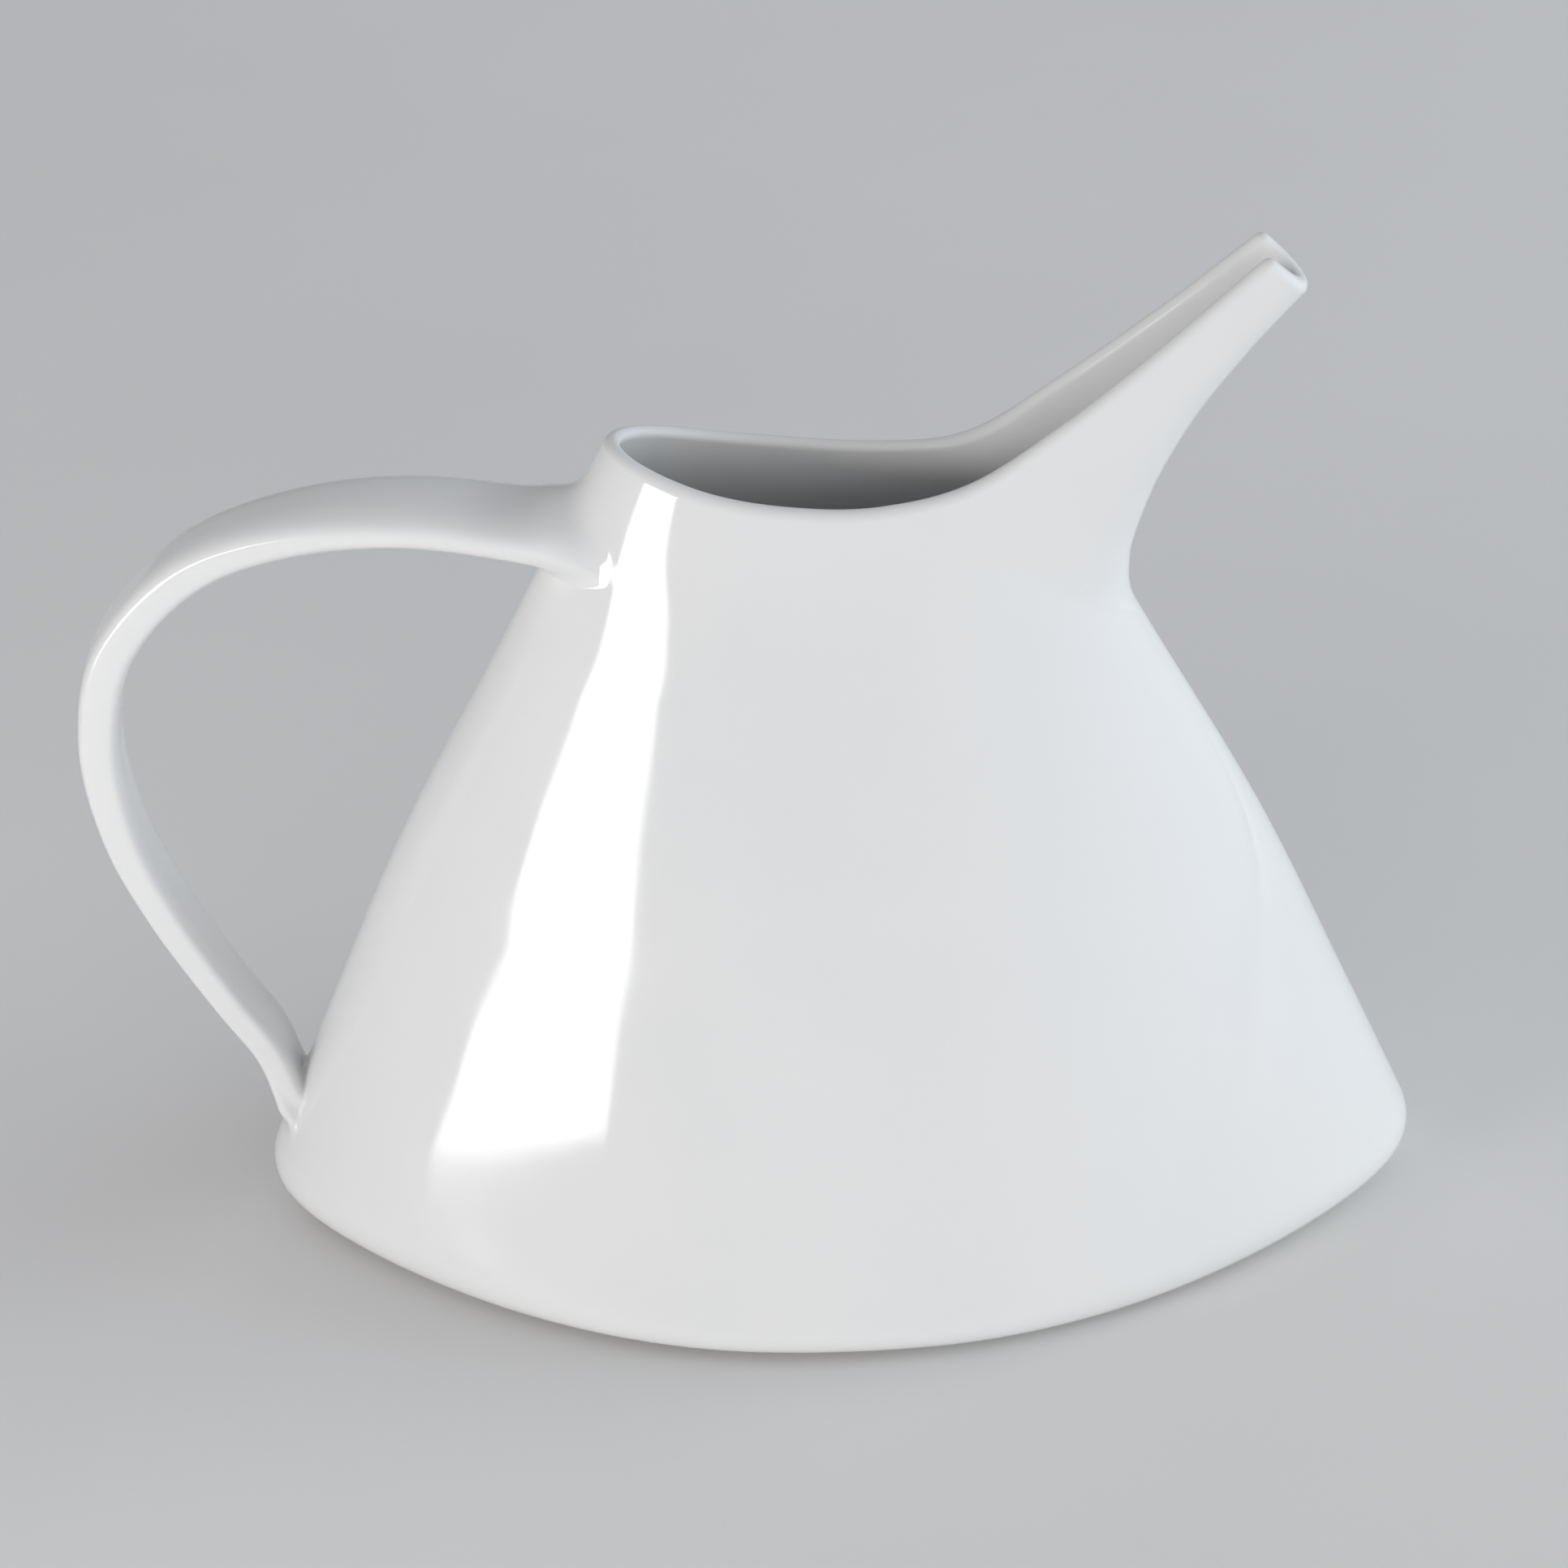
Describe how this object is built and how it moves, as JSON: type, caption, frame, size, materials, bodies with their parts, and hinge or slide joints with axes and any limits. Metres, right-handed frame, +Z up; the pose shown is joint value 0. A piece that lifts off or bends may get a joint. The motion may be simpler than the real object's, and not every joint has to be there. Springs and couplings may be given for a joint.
{
  "type": "coffee pot",
  "caption": "Lidless porcelain coffee pot: tapering oval vessel with an open beak spout and a flat strap handle, standing on an unglazed foot ring.",
  "frame": {"origin": "centre of the overall bounding box at the height of the surface the foot stands on", "axes": "+Z up; +X along the pot towards the spout's tip, the handle at -X; +Y to the left of someone looking along +X. The pot is symmetric about the plane Y = 0."},
  "size_m": [0.2266, 0.1218, 0.1744],
  "materials": {
    "glaze": "glossy clear glaze on white porcelain",
    "spout_glaze": "glossy clear glaze on white porcelain",
    "handle_glaze": "glossy clear glaze on white porcelain",
    "slip": "fired joining slip under the same glaze",
    "bisque": "unglazed, matt, slightly rough"
  },
  "bodies": {
    "root": {"body": "glaze", "spout": "spout_glaze", "handle": "handle_glaze", "spout_joint": "slip", "handle_upper_joint": "slip", "handle_lower_joint": "slip", "foot_ring": "bisque"}
  },
  "joints": []
}
